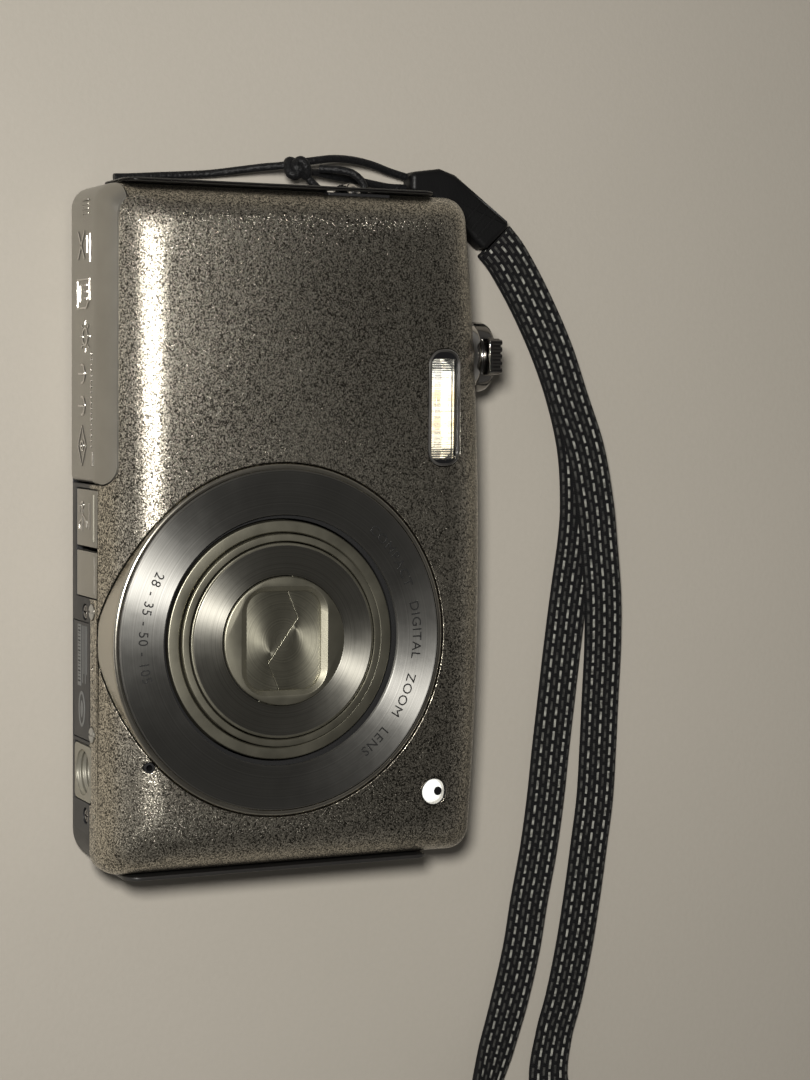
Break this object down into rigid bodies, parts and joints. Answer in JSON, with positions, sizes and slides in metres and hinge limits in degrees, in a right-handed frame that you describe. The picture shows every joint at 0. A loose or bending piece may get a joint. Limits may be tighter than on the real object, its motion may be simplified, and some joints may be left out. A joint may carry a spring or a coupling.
{
  "type": "compact digital camera",
  "caption": "Slim pocket camera lying on its back, with a retracting zoom lens behind swinging cover blades, hinged battery door, flash, rear screen and controls, and a wrist strap.",
  "frame": {"origin": "middle of the base: the centre of the camera's footprint without its strap, on the surface it lies on", "axes": "+X along the body's width to the lens end, +Y to the side with the shutter button, +Z through the thickness, out of the lens"},
  "size_m": [0.1708, 0.0891, 0.0204],
  "materials": {
    "champagne_paint": "sparkle metallic paint, satin",
    "satin_champagne": "smooth satin metallic paint",
    "champagne_metal": "fine turned",
    "brushed_gunmetal": "spin brushed",
    "chrome": "dark polished",
    "steel": "plain",
    "black_plastic": "moulded, fine grain",
    "grey_plastic": "moulded",
    "orange_plastic": "moulded",
    "label_film": "printed film with blank panels",
    "lens_glass": "coated",
    "screen_glass": "polished",
    "clear_plastic": "ribbed clear",
    "circuit_board": "solder mask",
    "webbing": "woven, with light stitch rows",
    "cord_fibre": "tight braid"
  },
  "bodies": {
    "root": {"front_cover": "champagne_paint", "rear_cover": "black_plastic", "strap_end_trim": "grey_plastic", "lens_end_trim": "grey_plastic", "eyelet_pocket": "black_plastic", "strap_eyelet": "chrome", "connector_socket": "steel", "bottom_label": "label_film", "tripod_socket": "steel", "label_screw": "steel", "corner_screw": "steel", "lens_bezel": "champagne_metal", "lens_decor_ring": "brushed_gunmetal", "lens_base": "black_plastic", "image_sensor": "screen_glass", "zoom_motor": "grey_plastic", "screen_window": "screen_glass", "screen_panel": "grey_plastic", "main_board": "circuit_board", "chassis_plate": "steel", "battery": "grey_plastic", "flash_capacitor": "black_plastic", "flash_reflector": "chrome", "flash_window": "clear_plastic", "af_lamp_lens": "clear_plastic", "speaker": "black_plastic", "strap_clasp": "black_plastic", "strap_band": "webbing", "cord_knot": "cord_fibre", "cord_leg_upper": "cord_fibre", "cord_leg_lower": "cord_fibre", "cord_eyelet_loop": "cord_fibre", "cord_tail": "cord_fibre"},
    "slider": {"door_slider": "steel"},
    "battery_door": {"battery_door": "satin_champagne"},
    "connector_cover": {"connector_cover": "satin_champagne"},
    "power_cable_cover": {"power_cable_cover": "satin_champagne"},
    "cam_ring": {"cam_ring": "black_plastic"},
    "barrel_outer": {"lens_barrel_outer": "champagne_metal"},
    "barrel_middle": {"lens_barrel_middle": "champagne_metal"},
    "barrel_front": {"lens_barrel_front": "champagne_metal", "lens_front_ring": "brushed_gunmetal", "lens_front_disc": "champagne_metal", "front_lens_element": "lens_glass"},
    "blade_a": {"lens_cover_blade_a": "champagne_metal"},
    "blade_b": {"lens_cover_blade_b": "champagne_metal"},
    "focus_lens": {"focus_lens": "lens_glass"},
    "shutter_button": {"shutter_button": "chrome"},
    "zoom_lever": {"zoom_lever": "chrome"},
    "power_button": {"power_button": "chrome"},
    "menu_button": {"menu_button": "grey_plastic"},
    "delete_button": {"delete_button": "grey_plastic"},
    "mode_button": {"mode_button": "grey_plastic"},
    "playback_button": {"playback_button": "grey_plastic"},
    "movie_button": {"movie_button": "grey_plastic"},
    "multi_selector": {"multi_selector": "grey_plastic"},
    "ok_button": {"ok_button": "grey_plastic"},
    "battery_latch": {"battery_latch": "orange_plastic"},
    "memory_card": {"memory_card": "black_plastic"}
  },
  "joints": [
    {"name": "battery_door_slide", "type": "slide", "parent": "root", "child": "slider", "axis": [-1, 0, 0], "range_m": [0, 0.0025]},
    {"name": "battery_door_hinge", "type": "hinge", "parent": "slider", "child": "battery_door", "pos_m": [-0.0071, -0.02925, 0.0068], "axis": [0, 0, 1], "range_deg": [0, 85]},
    {"name": "connector_cover_hinge", "type": "hinge", "parent": "root", "child": "connector_cover", "pos_m": [-0.00125, -0.0296, 0.0039], "axis": [1, 0, 0], "range_deg": [0, 100]},
    {"name": "power_cover_hinge", "type": "hinge", "parent": "root", "child": "power_cable_cover", "pos_m": [0.0065, -0.0296, 0.0039], "axis": [1, 0, 0], "range_deg": [0, 90]},
    {"name": "cam_ring_turn", "type": "hinge", "parent": "root", "child": "cam_ring", "pos_m": [0.01545, -0.0057, 0.0124], "axis": [0, 0, 1], "range_deg": [0, 150.5]},
    {"name": "barrel_outer_slide", "type": "slide", "parent": "root", "child": "barrel_outer", "axis": [0, 0, 1], "range_m": [0, 0.008]},
    {"name": "barrel_middle_slide", "type": "slide", "parent": "barrel_outer", "child": "barrel_middle", "axis": [0, 0, 1], "range_m": [0, 0.0081]},
    {"name": "barrel_front_slide", "type": "slide", "parent": "barrel_middle", "child": "barrel_front", "axis": [0, 0, 1], "range_m": [0, 0.0071]},
    {"name": "blade_a_swing", "type": "hinge", "parent": "barrel_front", "child": "blade_a", "pos_m": [0.00627, -0.00324, 0.0193], "axis": [0, 0, 1], "range_deg": [0, 33]},
    {"name": "blade_b_swing", "type": "hinge", "parent": "barrel_front", "child": "blade_b", "pos_m": [0.02463, -0.00816, 0.0193], "axis": [0, 0, 1], "range_deg": [0, 33]},
    {"name": "focus_slide", "type": "slide", "parent": "root", "child": "focus_lens", "axis": [0, 0, 1], "range_m": [0, 0.0025]},
    {"name": "shutter_press", "type": "slide", "parent": "root", "child": "shutter_button", "axis": [0, -1, 0], "range_m": [0, 0.001], "stiffness_N_per_m": 400},
    {"name": "zoom_lever_turn", "type": "hinge", "parent": "root", "child": "zoom_lever", "pos_m": [-0.02415, 0.0276, 0.0096], "axis": [0, 1, 0], "range_deg": [-20, 20], "stiffness_Nm_per_rad": 0.02},
    {"name": "power_press", "type": "slide", "parent": "root", "child": "power_button", "axis": [0, -1, 0], "range_m": [0, 0.0004], "stiffness_N_per_m": 500},
    {"name": "menu_press", "type": "slide", "parent": "root", "child": "menu_button", "axis": [0, 0, 1], "range_m": [0, 0.0004], "stiffness_N_per_m": 500},
    {"name": "delete_press", "type": "slide", "parent": "root", "child": "delete_button", "axis": [0, 0, 1], "range_m": [0, 0.0004], "stiffness_N_per_m": 500},
    {"name": "mode_press", "type": "slide", "parent": "root", "child": "mode_button", "axis": [0, 0, 1], "range_m": [0, 0.0004], "stiffness_N_per_m": 500},
    {"name": "playback_press", "type": "slide", "parent": "root", "child": "playback_button", "axis": [0, 0, 1], "range_m": [0, 0.0004], "stiffness_N_per_m": 500},
    {"name": "movie_press", "type": "slide", "parent": "root", "child": "movie_button", "axis": [0, 0, 1], "range_m": [0, 0.0004], "stiffness_N_per_m": 500},
    {"name": "selector_press", "type": "slide", "parent": "root", "child": "multi_selector", "axis": [0, 0, 1], "range_m": [0, 0.0003], "stiffness_N_per_m": 500},
    {"name": "ok_press", "type": "slide", "parent": "root", "child": "ok_button", "axis": [0, 0, 1], "range_m": [0, 0.0003], "stiffness_N_per_m": 500},
    {"name": "battery_latch_slide", "type": "slide", "parent": "root", "child": "battery_latch", "axis": [1, 0, 0], "range_m": [0, 0.0025], "stiffness_N_per_m": 80},
    {"name": "memory_card_push", "type": "slide", "parent": "root", "child": "memory_card", "axis": [0, 1, 0], "range_m": [0, 0.0008], "stiffness_N_per_m": 300}
  ],
  "couplings": [
    {"joint": "cam_ring_turn", "follows": "barrel_outer_slide", "rad_per_m": 327.25},
    {"joint": "barrel_middle_slide", "follows": "barrel_outer_slide", "ratio": 1},
    {"joint": "barrel_front_slide", "follows": "barrel_outer_slide", "ratio": 0.875},
    {"joint": "blade_b_swing", "follows": "blade_a_swing", "ratio": 1}
  ]
}
